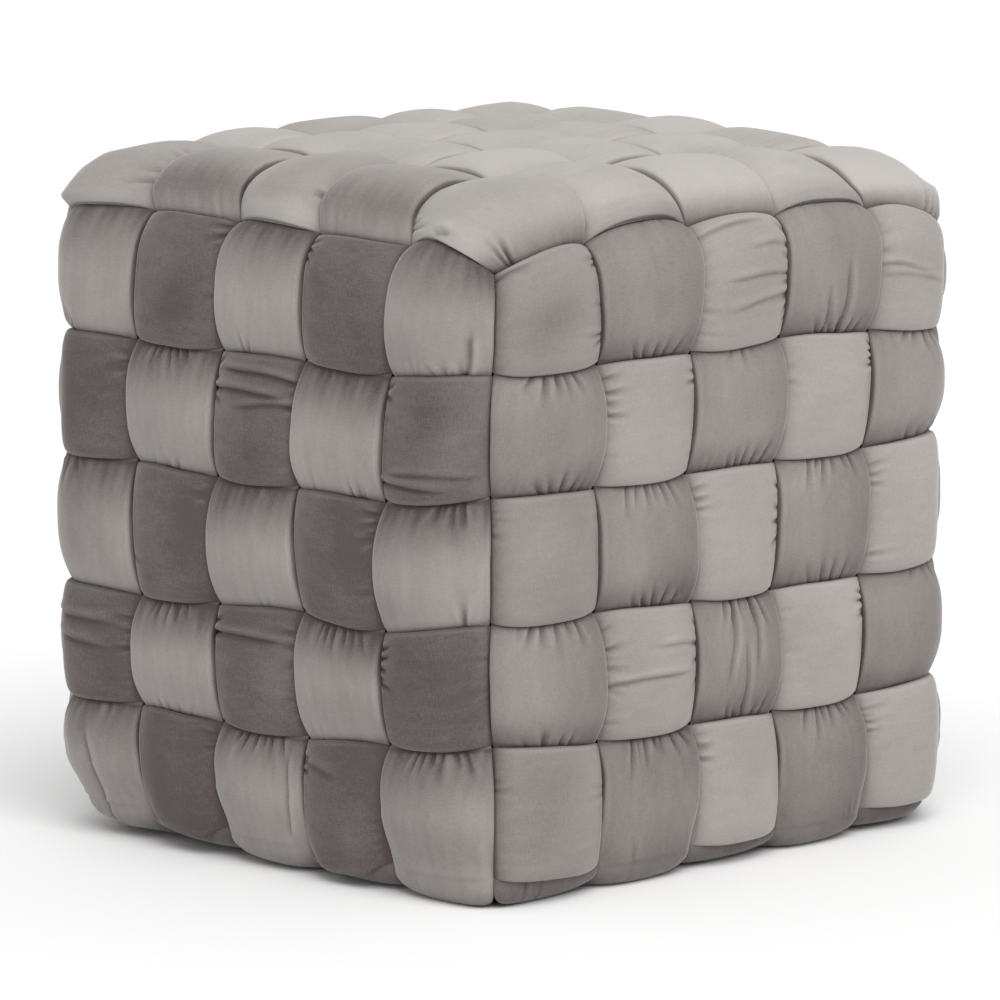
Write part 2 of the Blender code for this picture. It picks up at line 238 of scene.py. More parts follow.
def rounded(points):
    """The sharp-edged box's points taken to the rounded pouf, with the outward direction at each."""
    height = points[..., 2]
    near_corner = np.clip((points[..., 0] - points[..., 1]) / (2 * HALF), 0, 1) ** 2
    across = SIDE_ROUND + (NEAR_FOOT_ROUND - SIDE_ROUND) * near_corner * smooth(1 - height / ROW)
    left_corner = np.clip(-(points[..., 0] + points[..., 1]) / (2 * HALF), 0, 1) ** 2
    across = across + (LEFT_TOP_ROUND - SIDE_ROUND) * left_corner * smooth((height - RIM_LEVEL + 0.02) / 0.04)
    top_down = TOP_ROUND_DOWN + (LEFT_ROUND_DOWN - TOP_ROUND_DOWN) * left_corner
    # The upper half of the pouf is rounded as its rim is, and the lower half as its foot is.
    down = np.where(height > HALF, top_down, FOOT_ROUND_UP)
    reach = np.stack((across, across, down), -1)
    low = np.stack((-HALF + across, -HALF + across, np.full_like(across, FLAP_LEVEL + FOOT_ROUND_UP)), -1)
    high = np.stack((HALF - across, HALF - across, TOP_LEVEL - top_down), -1)
    core = np.clip(points, low, high)
    arm = (points - core) / reach
    arm = arm / np.linalg.norm(arm, axis=-1, keepdims=True)
    outward = arm / np.stack((across, across, np.where(height > HALF, top_down, FOOT_TURN)), -1)
    outward = outward / np.linalg.norm(outward, axis=-1, keepdims=True)
    return core + arm * reach, outward


def settled(points):
    """How the block has settled: the top's dome, tilt and droop, the lean, and the foot's tucked corners."""
    x, y, z = points[..., 0], points[..., 1], points[..., 2]
    dome = TOP_DOME * np.clip(1 - (x / HALF) ** 2, 0, 1) * np.clip(1 - (y / HALF) ** 2, 0, 1)
    tilt = TOP_TILT * np.clip(0.5 - 0.5 * x / HALF, 0, 1)
    droop = RIGHT_DROOP * np.maximum(x, 0) * np.maximum(y, 0) / HALF ** 2
    droop = droop + LEFT_DROOP * (np.minimum(x, 0) * np.minimum(y, 0) / HALF ** 2) ** 2
    high = smooth((z - RIM_LEVEL) / RIM_DROP)
    lean = LEAN * np.maximum(2 * z / TOP_LEVEL - 1, 0)
    corner = (x + y) / (2 * HALF)
    kept = 1 - np.where(corner < 0, FOOT_TUCK, RIGHT_FOOT_TUCK) * corner ** 2 * smooth(1 - z / ROW)
    # The left corner of the foot curls up off the floor.
    outside = smooth((np.maximum(np.abs(x), np.abs(y)) - HALF) / 0.045 + 1)
    rise = LEFT_FOOT_RISE * np.minimum(corner, 0) ** 2 * outside * smooth(1 - z / 0.05)
    return np.stack((x * kept + lean, y * kept + lean, z + (dome + tilt - droop) * high + rise), -1)


# A strap's shape along its length. Over a neighbour it arches out and is full, and at each tuck
# it is pinched to a lens.
ARCH = 0.0080
TOP_ARCH = 0.0085
OVER_HALF_THICK = 0.0076
TUCK_HALF_THICK = 0.0050
UNDER_HALF_THICK = 0.0064
OVER_HALF_WIDE = 0.514  # as a share of its column or row
TUCK_HALF_WIDE = 0.487
TOP_TUCK_HALF_WIDE = 0.492
ARCH_POWER = 2.6
OVER_STEPS = 20
CROWDED = 0.09  # how far the steps of a crown crowd towards its tucks
UNDER_AT = (0.0, 0.025, 0.08, 0.24, 0.5, 0.76, 0.92, 0.975)  # where the steps of a hidden crossing lie
SHELF = 0.0019  # how far a tuck rises to meet the fold that lies on it
SHELF_REACH = 0.006
OUTER_STEPS = 114
INNER_STEPS = 14
INNER_SHARE = 0.8
GATHER_DEPTH = 0.0016  # of a gather whose depth is given as 1
FOLD_DEPTH = 0.0018  # of such a fold
HALF_STRAP = 0.040  # turns a place across a strap into metres
# CREASE_SHADE and CRUSH_SHADE are painted shade: darkening in the gathers and at the tucks.
CREASE_SHADE = 105.0  # how much darker to a metre of depth
CRUSH_SHADE = 0.22  # how much darker the crushed pile is at a tuck


def steps_along(over, crossings):
    """Steps along a strap: close together where it shows, and wide apart where it is hidden."""
    even = np.arange(OVER_STEPS) / OVER_STEPS
    crown = even - CROWDED * np.sin(2 * np.pi * even)
    made = [crossing + (crown if over(crossing) else np.array(UNDER_AT)) for crossing in range(crossings)]
    return np.concatenate(made + [[crossings]])


def shelf_of(steps, across, over, crossings):
    """How far the outer cloth rises just before it dives, where the neighbour's fold lies on it."""
    crossing = np.clip(np.floor(steps), 0, crossings - 1).astype(int)
    is_over = np.array([over(number) for number in crossing])
    local = steps - crossing
    away = np.minimum(local, 1 - local) * COLUMN
    rise = np.where(is_over, SHELF * np.exp(-away / SHELF_REACH) * smooth(away / 0.0016 + 0.1), 0)
    return rise[:, None] * (1 - np.abs(across) ** 2.5)


def run_of(steps, over, crossings, top_steps=(0, -1)):
    """At each step: lift off the skin, half thickness, half width, fullness and how far the sides drop.

    Fullness is 0 at a tuck and 1 at a crown.
    """
    crossing = np.clip(np.floor(steps), 0, crossings - 1).astype(int)
    is_over = np.array([over(number) for number in crossing])
    local = np.clip(steps - crossing - 0.5, -0.5, 0.5)
    bell = 1 - np.abs(2 * local) ** ARCH_POWER
    on_top = (steps >= top_steps[0]) & (steps <= top_steps[1])
    arch = np.where(on_top, TOP_ARCH, ARCH) * np.where(is_over, 1, -1)
    tuck = np.where(on_top, TOP_TUCK_HALF_WIDE, TUCK_HALF_WIDE)
    peak = np.where(is_over, OVER_HALF_THICK, UNDER_HALF_THICK)
    wide = np.where(is_over, OVER_HALF_WIDE, tuck)
    thick = TUCK_HALF_THICK + (peak - TUCK_HALF_THICK) * bell
    return arch * bell, thick, tuck + (wide - tuck) * bell, np.where(is_over, bell, 0), np.zeros(len(steps))


def pucker(along, across, ends, rng):
    """Short gathers that fan out of a tuck. along is metres from the tuck, and ends lists the groups."""
    height = np.zeros_like(across)
    for centre, spread, count, length, depth in ends:
        for number in range(count):
            place = centre + spread * ((number + 0.5) / count - 0.5) * 2 + rng.uniform(-0.04, 0.04)
            reach = MM * length * rng.uniform(0.7, 1.6)
            deep = GATHER_DEPTH * depth * rng.uniform(0.7, 1.25)
            line = place + (0.4 * (place - centre) + rng.uniform(-0.08, 0.08)) * along / reach
            half = 0.0011 + 0.0020 * np.clip(along / reach, 0, 1)
            off = np.abs(across - line) * HALF_STRAP / half
            trough = -np.exp(-off ** 1.3)
            ridge = 0.5 * np.exp(-((off - 1.9) / 0.9) ** 2) * smooth(along / 0.005)
            fade = smooth(1 - along / reach) ** 0.8 * (0.45 + 0.55 * smooth(along / 0.005))
            fade = fade * smooth(1 + along / 0.005)
            height += deep * (trough + ridge) * fade
    return height


def relief_of(steps, across, over, crossings, creases, seed, tile_length):
    """How far the outer cloth stands off the plain tube: its shelf, and its gathers, folds and swells."""
    rng = np.random.default_rng(seed)
    height = np.zeros_like(across)
    for crossing in range(crossings):
        placed = creases.get(crossing, ())
        if not over(crossing) and not placed:
            continue
        rows = np.nonzero((steps >= crossing - 0.2) & (steps <= crossing + 1.2))[0]
        local = (steps[rows] - crossing)[:, None]
        spot = across[rows]
        here = np.zeros_like(spot)
        if over(crossing):
            starts = [item[1:] for item in placed if item[0] == "start"]
            finishes = [item[1:] for item in placed if item[0] == "end"]
            # A tuck may have one or two faint groups of puckers beside the ones that were placed.
            for ends in (starts, finishes):
                for _ in range(rng.integers(0, 3)):
                    ends.append((rng.uniform(-0.75, 0.75), rng.uniform(0.04, 0.12), rng.integers(1, 3),
                                 rng.uniform(10, 22), rng.uniform(0.2, 0.6)))
            here += pucker(local * tile_length, spot, starts, rng)
            here += pucker((1 - local) * tile_length, spot, finishes, rng)
        for _, a0, x0, a1, x1, depth, width in [item for item in placed if item[0] == "fold"]:
            share = (local - a0) / (a1 - a0)
            line = x0 + (x1 - x0) * share + 0.03 * np.sin(5 * share)
            off = (spot - line) * HALF_STRAP / (MM * width)
            fade = smooth(8 * (share + 0.1)) * smooth(3 * (1 - share))
            # A long fold is a narrow trough with the fuller cloth lying over it from above.
            trough = -np.exp(-(np.abs(off) / 0.7) ** 1.3)
            cover = 0.5 * np.exp(-((off - 1.5) / 1.2) ** 2)
            here += FOLD_DEPTH * depth * fade * (trough + cover)
        # Wadding is never quite even: a few soft swells to a tile that shows.
        inside = smooth(6 * local) * smooth(6 * (1 - local))
        for _ in range(4 if over(crossing) else 0):
            a, x = rng.uniform(0.15, 0.85), rng.uniform(-0.8, 0.8)
            size = rng.uniform(0.15, 0.3)
            swell = np.exp(-(((local - a) / size) ** 2 + ((spot - x) / (2.2 * size)) ** 2))
            here += inside * rng.uniform(-0.0007, 0.0006) * swell
        height[rows] += here
    return shelf_of(steps, across, over, crossings), height


def lay_strap(name, place, run, steps, relief, painted_shading, closed, material):
    """A flat padded tube of velvet, rolled up from a grid and laid along its path."""
    count = len(steps) - 1
    around = OUTER_STEPS + INNER_STEPS
    bpy.ops.mesh.primitive_grid_add(x_subdivisions=count, y_subdivisions=around, size=1)
    made = bpy.context.object
    flat = np.empty(3 * len(made.data.vertices))
    made.data.vertices.foreach_get("co", flat)
    flat = flat.reshape(-1, 3)
    column = np.rint((flat[:, 0] + 0.5) * count).astype(int)
    row = np.rint((flat[:, 1] + 0.5) * around).astype(int)

    # Once round the tube, from the middle of its hidden side: half the inner side, the outer side, and back.
    half_inner = INNER_STEPS // 2
    turn = np.concatenate((
        -np.linspace(0, np.pi / 2, half_inner, endpoint=False),
        np.linspace(-np.pi / 2, np.pi / 2, OUTER_STEPS, endpoint=False),
        np.linspace(np.pi / 2, 0, half_inner + 1),
    ))
    outer = np.zeros(around + 1, bool)
    outer[half_inner:half_inner + OUTER_STEPS + 1] = True
    share = np.sin(turn)[None, :]
    lift, thick, wide, full, sides = (values[:, None] for values in run)
    lift = lift - sides * np.abs(share) ** 3
    power = 2.0 + 1.1 * full
    body = (1 - np.abs(share) ** power).clip(0) ** (1 / power)
    body = np.where(outer[None, :], body, -INNER_SHARE * body)
    spread = np.repeat(share, len(steps), 0)
    shelf, gathers = relief(steps, spread)
    bumps = (shelf + gathers) * np.where(outer[None, :], smooth(3 * body), 0)
    ripple = 1 + 0.006 * np.sin(9.1 * steps[:, None] + 2 * share) * full
    s = np.repeat(steps[:, None], around + 1, 1)
    skin, outward = rounded(place(s, wide * share * ripple))
    points = settled(skin + outward * (lift + thick * body + bumps)[..., None])
    points[..., 0] -= MIDDLE[0]
    points[..., 1] -= MIDDLE[1]
    points[..., 2] = np.maximum(points[..., 2], FLOOR_GAP)
    made.data.vertices.foreach_set("co", points[column, row].ravel())
    # Painted shade in each crease and at each tuck, and painted light on the fold ridge beside it.
    tuck_shade = smooth(1 - np.abs(s - np.rint(s)) / 0.06)
    if not closed:
        tuck_shade = tuck_shade * (s > 0.5) * (s < CLIMB - 0.5)
    shade = painted_shading(s, spread) + np.clip(CREASE_SHADE * gathers, -0.28, 0.10) - CRUSH_SHADE * tuck_shade
    # A painted highlight runs along each side, and painted shade where the side rolls under.
    side_light = 0.07 * np.exp(-((np.abs(spread) - 0.955) / 0.025) ** 2)
    side_dark = 0.32 * smooth((np.abs(spread) - 0.985) / 0.015)
    shade += full * (side_light - side_dark)
    lightness = made.data.attributes.new("painted_shading", "FLOAT", "POINT")
    lightness.data.foreach_set("value", shade[column, row].astype(np.float32))

    bpy.ops.object.mode_set(mode="EDIT")
    bpy.ops.mesh.select_all(action="SELECT")
    bpy.ops.mesh.remove_doubles(threshold=1e-6)
    if not closed:
        bpy.ops.mesh.select_all(action="DESELECT")
        bpy.ops.mesh.select_non_manifold()
        bpy.ops.mesh.fill_holes(sides=0)
    bpy.ops.mesh.select_all(action="SELECT")
    bpy.ops.mesh.normals_make_consistent(inside=False)
    bpy.ops.object.mode_set(mode="OBJECT")
    bpy.ops.object.shade_smooth()
    made.name = name
    made.data.name = name
    made.data.materials.append(material)
    made.select_set(False)
    return made


# The two ends of the painted light and shade: VELVET_DARK where the painted shade is deepest, VELVET_LIGHT
# where the painted light is fullest.
VELVET_DARK = (0.098, 0.080, 0.078, 1.0)  # where the pile leans away
VELVET_LIGHT = (0.460, 0.435, 0.410, 1.0)  # where it leans towards the light
VELVET_SHEEN = (1.0, 0.97, 0.94, 1.0)


def strap_velvet():
    """Short-pile velvet: soft sheen, patches brushed darker and lighter, and a fine grain of pile."""
    material = bpy.data.materials.new("strap_velvet")
    material.use_nodes = True
    tree = material.node_tree
    shader = tree.nodes["Principled BSDF"]
    shader.inputs["Sheen Weight"].default_value = 0.55
    shader.inputs["Sheen Roughness"].default_value = 0.30
    shader.inputs["Sheen Tint"].default_value = VELVET_SHEEN
    shader.inputs["Specular IOR Level"].default_value = 0.15
    where = add_node(tree, "ShaderNodeTexCoord", (-1700, 0))
    fibres = add_node(tree, "ShaderNodeGroup", (-1250, 100), node_tree=short_fibres)
    fibres.inputs["Fibre Scale"].default_value = 1200.0
    fibres.inputs["Patch Scale"].default_value = 13.0
    # On the strap's own map: brush marks about 25 mm long, and threads of the ground weave both ways.
    brushed_map = add_node(tree, "ShaderNodeMapping", (-1450, -200), Scale=(60.0, 18.0, 1.0))
    brushed = add_node(tree, "ShaderNodeTexNoise", (-1250, -200), Scale=1.0, Detail=3.0, Roughness=0.6)
    warp_map = add_node(tree, "ShaderNodeMapping", (-1450, -500), Scale=(230.0, 260.0, 1.0))
    warp = add_node(tree, "ShaderNodeTexNoise", (-1250, -500), Scale=1.0, Detail=1.0)
    weft_map = add_node(tree, "ShaderNodeMapping", (-1450, -800), Scale=(2400.0, 22.0, 1.0))
    weft = add_node(tree, "ShaderNodeTexNoise", (-1250, -800), Scale=1.0, Detail=1.0)
    lean = add_node(tree, "ShaderNodeAttribute", (-1250, 350), attribute_name="painted_shading")
    # Lightness = the painted light and shade, moved a little by broad patches, brush marks, threads and
    # single fibres.
    patches = add_node(tree, "ShaderNodeMapRange", (-950, 200), **{
        "From Min": 0.3, "From Max": 0.7, "To Min": -0.06, "To Max": 0.06})
    marks = add_node(tree, "ShaderNodeMapRange", (-950, -100), **{
        "From Min": 0.3, "From Max": 0.7, "To Min": -0.03, "To Max": 0.03})
    threads = add_node(tree, "ShaderNodeMath", (-1050, -600), operation="ADD")
    thread_tone = add_node(tree, "ShaderNodeMapRange", (-850, -600), **{
        "From Min": 0.7, "From Max": 1.3, "To Min": -0.045, "To Max": 0.045})
    grain = add_node(tree, "ShaderNodeMapRange", (-950, -350), **{
        "From Min": 0.25, "From Max": 0.75, "To Min": -0.07, "To Max": 0.07})
    sums = [
        add_node(tree, "ShaderNodeMath", (-700 + 150 * i, 250 - 40 * i), operation="ADD")
        for i in range(4)]
    sums[3].use_clamp = True
    colour = add_node(tree, "ShaderNodeMix", (-100, 200), data_type="RGBA")
    colour.inputs["A"].default_value = VELVET_DARK
    colour.inputs["B"].default_value = VELVET_LIGHT
    dull = add_node(tree, "ShaderNodeMapRange", (-300, -150), **{"To Min": 0.78, "To Max": 0.95})
    soft = add_node(tree, "ShaderNodeBump", (-500, -350), Strength=0.25, Distance=0.0005)
    fine = add_node(tree, "ShaderNodeBump", (-250, -450), Strength=0.25, Distance=0.0003)
    tree.links.new(where.outputs["Object"], fibres.inputs["Position"])
    for mapping, noise in ((brushed_map, brushed), (warp_map, warp), (weft_map, weft)):
        tree.links.new(where.outputs["UV"], mapping.inputs["Vector"])
        tree.links.new(mapping.outputs["Vector"], noise.inputs["Vector"])
    tree.links.new(fibres.outputs["Patches"], patches.inputs["Value"])
    tree.links.new(brushed.outputs["Fac"], marks.inputs["Value"])
    tree.links.new(warp.outputs["Fac"], threads.inputs[0])
    tree.links.new(weft.outputs["Fac"], threads.inputs[1])
    tree.links.new(threads.outputs["Value"], thread_tone.inputs["Value"])
    tree.links.new(fibres.outputs["Fibres"], grain.inputs["Value"])
    total = lean.outputs["Fac"]
    for adder, part in zip(sums, (patches, marks, thread_tone, grain)):
        tree.links.new(total, adder.inputs[0])
        tree.links.new(part.outputs["Result"], adder.inputs[1])
        total = adder.outputs["Value"]
    tree.links.new(total, colour.inputs["Factor"])
    tree.links.new(colour.outputs["Result"], shader.inputs["Base Color"])
    tree.links.new(brushed.outputs["Fac"], dull.inputs["Value"])
    tree.links.new(dull.outputs["Result"], shader.inputs["Roughness"])
    tree.links.new(threads.outputs["Value"], soft.inputs["Height"])
    tree.links.new(soft.outputs["Normal"], fine.inputs["Normal"])
    tree.links.new(fibres.outputs["Fibres"], fine.inputs["Height"])
    tree.links.new(fine.outputs["Normal"], shader.inputs["Normal"])
    return material


velvet = strap_velvet()

# The main creases of each band, by crossing, as in the photograph. A crossing is a fifth of a wall,
# counted from the left corner. Gathers are ("start" or "end" of the crossing, centre and spread
# across the strap from -1 to 1, count, length in mm, depth), and a fold is ("fold", from, across,
# to, across, depth, width in mm). A depth of 1 is GATHER_DEPTH or FOLD_DEPTH.
BAND_CREASES = {
    1: {
        1: [("end", 0.70, 0.16, 2, 14, 1.5)],
        3: [("start", 0.62, 0.18, 3, 13, 1.4)],
        5: [("end", 0.66, 0.10, 2, 15, 1.5), ("end", -0.55, 0.12, 2, 14, 1.3),
            ("fold", 0.02, 0.80, 0.38, 0.93, 1.2, 2.8)],
        7: [("fold", 0.02, 0.66, 0.75, 0.86, 1.1, 2.0), ("fold", 0.98, 0.02, 0.15, 0.05, 1.0, 2.0),
            ("fold", 0.95, -0.30, 0.20, -0.42, 0.9, 2.2), ("fold", 0.98, 0.42, 0.45, 0.45, 0.9, 1.8),
            ("end", 0.1, 0.80, 9, 9, 1.2), ("start", 0.0, 0.5, 3, 14, 0.8)],
        9: [("fold", 0.02, 0.02, 0.55, 0.04, 0.9, 1.8), ("fold", 0.10, -0.14, 0.80, -0.10, 0.6, 2.2),
            ("start", 0.2, 0.4, 3, 10, 0.9)],
    },
    2: {
        0: [("end", 0.62, 0.18, 3, 12, 1.3)],
        2: [("fold", 0.99, 0.62, 0.05, 0.80, 1.6, 2.2), ("fold", 0.01, 0.42, 0.98, 0.40, 1.5, 2.2),
            ("fold", 0.98, 0.24, 0.30, 0.20, 1.0, 2.0), ("start", 0.55, 0.35, 3, 12, 1.3),
            ("end", 0.45, 0.25, 3, 12, 1.2)],
        4: [("start", 0.78, 0.14, 2, 14, 1.5), ("fold", 0.02, -0.70, 0.70, -0.80, 1.5, 2.2),
            ("fold", 0.20, -0.54, 0.95, -0.64, 0.9, 2.2)],
        6: [("start", 0.45, 0.40, 4, 15, 1.7), ("end", 0.68, 0.16, 2, 12, 1.4)],
        8: [("end", 0.60, 0.24, 4, 15, 1.7), ("start", 0.4, 0.2, 2, 9, 1.0)],
    },
    3: {
        1: [("end", 0.72, 0.12, 2, 14, 1.4)],
        3: [("end", 0.58, 0.24, 4, 15, 1.6)],
        5: [("start", 0.5, 0.2, 2, 8, 0.8)],
        7: [("start", 0.60, 0.22, 3, 13, 1.5), ("end", 0.20, 0.50, 4, 12, 1.4)],
        9: [("start", 0.55, 0.22, 3, 13, 1.4)],
    },
    4: {
        0: [("fold", 0.10, 0.40, 0.90, 0.45, 1.2, 3.0), ("fold", 0.05, 0.05, 0.85, -0.02, 1.2, 3.0),
            ("end", 0.3, 0.4, 3, 12, 1.3)],
        2: [("fold", 0.01, 0.55, 0.98, 0.48, 1.5, 2.2), ("start", 0.66, 0.18, 2, 12, 1.4),
            ("end", 0.4, 0.3, 3, 12, 1.2)],
        4: [("start", 0.40, 0.42, 5, 12, 1.5)],
        6: [("start", 0.25, 0.55, 4, 14, 1.5), ("fold", 0.02, -0.16, 0.96, -0.04, 1.2, 2.0),
            ("fold", 0.97, 0.34, 0.45, 0.42, 0.9, 2.0),
            ("end", 0.2, 0.6, 4, 9, 1.0)],
        8: [("end", 0.55, 0.26, 4, 14, 1.6)],
    },
    5: {
        1: [("end", 0.66, 0.18, 3, 14, 1.5)],
        3: [("start", 0.60, 0.22, 3, 15, 1.4), ("fold", 0.05, 0.62, 0.55, 0.40, 1.0, 3.2)],
        5: [("start", 0.4, 0.2, 2, 8, 0.8)],
        7: [("start", 0.60, 0.22, 4, 14, 1.5)],
        9: [("start", 0.58, 0.24, 4, 14, 1.5)],
    },
}


HANG = 0.0055  # how far the lowest band hangs down on the front wall


def band_painted_shading(s, number):
    """Painted light and shade of a band: dark on the front and back, light on the other walls, with painted
    shade at each tuck and near the near corner.
    """
    line = np.mod(s, AROUND)
    near = smooth((line - 4.75) / 0.5) - smooth((line - 9.75) / 0.5)
    far = smooth((line - 14.75) / 0.5) - smooth((line - 19.9) / 0.1)
    light = np.maximum(near, far)
    local = np.mod(s, 1)
    band_tuck_shade = smooth(1 - local / 0.16) + smooth(1 - (1 - local) / 0.16)
    shaded = (0.12 + 0.08 * (number > 2)) * np.exp(-((line - 5.5) / 0.6) ** 2)
    sides = 0.57 * near + 0.57 * far + (0.02 + 0.03 * (number == 4)) * near * (np.clip(s, 5, 10) - 7.2)
    front = (1 - light) * (0.012 * (number < 3) * (np.clip(s, 0, 5) - 1.5) - 0.055 * (number == 5))
    return 0.08 + sides + front - shaded - 0.11 * light * band_tuck_shade


for number in range(1, 6):
    def over(crossing, number=number):
        return (crossing + 1 + number) % 2 == 1

    def place(s, v, number=number):
        level = number - 0.5 - v
        # On the front wall the lowest band hangs down over the turned-under straps.
        from_tuck = 0.5 - np.abs(np.mod(s, 1) - 0.5)
        hang = HANG * (number == 5) * (s < 5) * smooth(-2 * v) * smooth(4 * from_tuck)
        return wall(s, np.minimum(level, 5), ROW * np.maximum(level - 5, 0) + hang)

    def relief(s, x, number=number, over=over):
        return relief_of(s, x, over, AROUND, BAND_CREASES[number], 100 + number, COLUMN)

    def painted_shading(s, x, number=number):
        return band_painted_shading(s, number)

    steps = steps_along(over, AROUND)
    run = run_of(steps, over, AROUND)
    band = lay_strap(f"velvet_band_{number}", place, run, steps, relief, painted_shading, True, velvet)
    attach(band, "root")
    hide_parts(f"band_{number}")

# ---------------------------------------------------------------------------------------------
# Front straps: five of the same padded straps, one to a column. They climb the front wall, cross
# the top and go down the back, over and under the bands and the side straps. Their ends turn
# under the foot, which the photograph doesn't show.

TURN_UNDER = 0.058  # length of a turned-under end
FLAT_FROM = 0.030  # how far past the foot it has thinned to the shape of its end
# A strap that is over at the lowest row is held this far out, thick and wide near the foot, before it
# rolls in.
HELD_OUT = 0.0070
HELD_HALF_THICK = 0.0058
HELD_HALF_WIDE = 0.495
UNDER_FOOT_WIDE = 0.515  # half width at the foot of one that is tucked there
ROLL_IN = 0.0036  # how far it has rolled in by the foot level, on its way under
SIDES_DOWN = 0.0050  # how far the folds of a strap that is over at the foot are drawn in below its middle
FLAP_HALF_THICK = 0.0048
FLAP_HALF_WIDE = 0.47
FLAP_FULL = 0.3
FLAP_STEPS = 18


def top(column, row):
    """Points of the sharp-edged box at a column and a row of the top, its rims folded down the walls."""
    u = np.interp(column, range(6), TOP_LINES)
    v = np.interp(row, range(6), TOP_LINES)
    over_u = np.clip((np.abs(u) - HALF) / RIM_DROP, 0, 1)
    over_v = np.clip((np.abs(v) - HALF) / RIM_DROP, 0, 1)
    wall_u = np.interp(column, range(6), LINES)
    wall_v = np.interp(row, range(6), LINES)
    x = np.clip(u, -HALF, HALF) * (1 - over_v) + wall_u * over_v
    y = np.clip(v, -HALF, HALF) * (1 - over_u) + wall_v * over_u
    z = TOP_LEVEL - RIM_DROP * (1 - (1 - over_u) * (1 - over_v))
    # The walls' corner points stray, and the straps follow from each rim to the first line inside it.
    rims = (
        (np.clip(1 - row, 0, 1) ** 2, column, 1, 0),
        (np.clip(column - 4, 0, 1) ** 2, 5 + row, 0, 1),
        (np.clip(row - 4, 0, 1) ** 2, 15 - column, -1, 0),
        (np.clip(1 - column, 0, 1) ** 2, AROUND - row, 0, -1),
    )
    total = np.maximum(sum(weight for weight, *_ in rims), 1)
    level = np.zeros_like(u)
    for weight, line, to_x, to_y in rims:
        share = weight / total
        moved = stray(ALONG, line, level)
        x = x + share * moved * to_x
        y = y + share * moved * to_y
        z = z + share * raised(line, level)
    return np.stack((x, y, z), -1)


def climbing_path(column, first_line, back_line, on_top, top_is_over):
    """Where a strap runs that goes up one wall, over the top and down the other wall."""

    def place(s, v):
        across = column - 0.5 + v
        middle = np.clip(s, 0, CLIMB)
        up = wall(first_line + across, 5 - np.minimum(middle, 5), np.maximum(-s, 0))
        over = top(*on_top(across, np.clip(middle - 5, 0, 5)))
        down = wall(back_line - across, np.maximum(middle - 10, 0), np.maximum(s - CLIMB, 0))
        return np.where((s < 5)[..., None], up, np.where((s > 10)[..., None], down, over))

    def over(crossing):
        if crossing < 5:
            return (first_line + column + 5 - crossing) % 2 == 0
        if crossing < 10:
            return top_is_over(column, crossing - 4)
        return (back_line - column + 1 + crossing - 9) % 2 == 0

    return place, over


def climbing_steps(over):
    """Steps of a whole climbing strap, its turned-under ends in metres past the foot level."""
    flap = TURN_UNDER * np.linspace(1, 0, FLAP_STEPS, endpoint=False) ** 1.7
    return np.concatenate((-flap, steps_along(over, CLIMB), CLIMB + flap[::-1]))


def climbing_run(steps, over):
    """As run_of, with the ends turned under. A strap over at the lowest row stays out down to the foot."""
    lift, thick, wide, full, sides = run_of(np.clip(steps, 0, CLIMB), over, CLIMB, top_steps=(5, 10))
    for past, at_foot in ((-steps, over(0)), (steps - CLIMB, over(CLIMB - 1))):
        low = (past > -0.5) & (past <= 0)
        flap = past > 0
        foot = np.argmin(np.abs(past))
        rolled = smooth(past[flap] / FLAT_FROM)
        if at_foot:
            for values, held, soft in (
                    (lift, HELD_OUT, 0.002), (thick, HELD_HALF_THICK, 0.001), (wide, HELD_HALF_WIDE, 0.01)):
                apart = values[low] - held
                values[low] = held + (apart + np.sqrt(apart ** 2 + soft ** 2)) / 2
            full[low] = np.maximum(full[low], 0.6)
            lift[low] -= ROLL_IN * (1 + past[low] / 0.5) ** 2
            whole = (past > -1) & (past <= 0)
            sides[whole] = SIDES_DOWN * smooth(1 + past[whole] / 0.9)
            sides[flap] = SIDES_DOWN * (1 - rolled)
        else:
            # Beside a strap that stands out, the tucked one fills the space between its neighbours.
            wide[low] += (UNDER_FOOT_WIDE - TUCK_HALF_WIDE) * smooth(1 + past[low] / 0.15)
        for values, finish in ((thick, FLAP_HALF_THICK), (wide, FLAP_HALF_WIDE), (full, FLAP_FULL)):
            values[flap] = values[foot] + (finish - values[foot]) * rolled
        # It goes on rolling in at the same slope, and ends flat against the base.
        if at_foot:
            lift[flap] = lift[foot] * np.exp(-4 * ROLL_IN / ROW * past[flap] / lift[foot])
        else:
            lift[flap] = 0
    return lift, thick, wide, full, sides


# As for the bands, with the crossings counted from the foot up the wall and on over the top.
FRONT_CREASES = {
    1: {
        4: [("start", -0.50, 0.30, 4, 13, 1.5)],
        2: [("end", -0.45, 0.35, 4, 14, 1.5)],
        0: [("fold", 0.02, 0.16, 0.82, 0.04, 1.7, 2.2), ("fold", 0.10, -0.70, 0.75, -0.82, 1.4, 2.4),
            ("end", 0.2, 0.4, 3, 10, 1.0)],
    },
    2: {
        3: [("end", -0.05, 0.40, 5, 16, 1.8), ("start", 0.05, 0.20, 3, 9, 1.2)],
        1: [("end", 0.00, 0.50, 6, 15, 1.7), ("start", 0.0, 0.45, 4, 9, 1.1)],
    },
    3: {
        4: [("start", -0.25, 0.12, 2, 20, 1.7)],
        2: [("end", 0.30, 0.25, 3, 9, 1.0), ("start", 0.3, 0.2, 2, 8, 0.9)],
        0: [("end", 0.10, 0.50, 6, 15, 1.7), ("fold", 0.15, 0.72, 0.95, 0.80, 1.2, 2.2)],
    },
    4: {
        3: [("start", 0.55, 0.22, 3, 12, 1.4), ("end", -0.3, 0.2, 2, 8, 0.9)],
        1: [("end", 0.10, 0.50, 6, 15, 1.7)],
    },
    5: {
        4: [("fold", 0.00, 0.48, 0.38, 0.62, 2.0, 2.8), ("start", 0.3, 0.35, 4, 10, 1.3)],
        2: [("end", 0.30, 0.22, 4, 18, 2.0), ("start", 0.52, 0.08, 2, 18, 1.6)],
        0: [("end", 0.10, 0.45, 6, 16, 1.9)],
    },
}


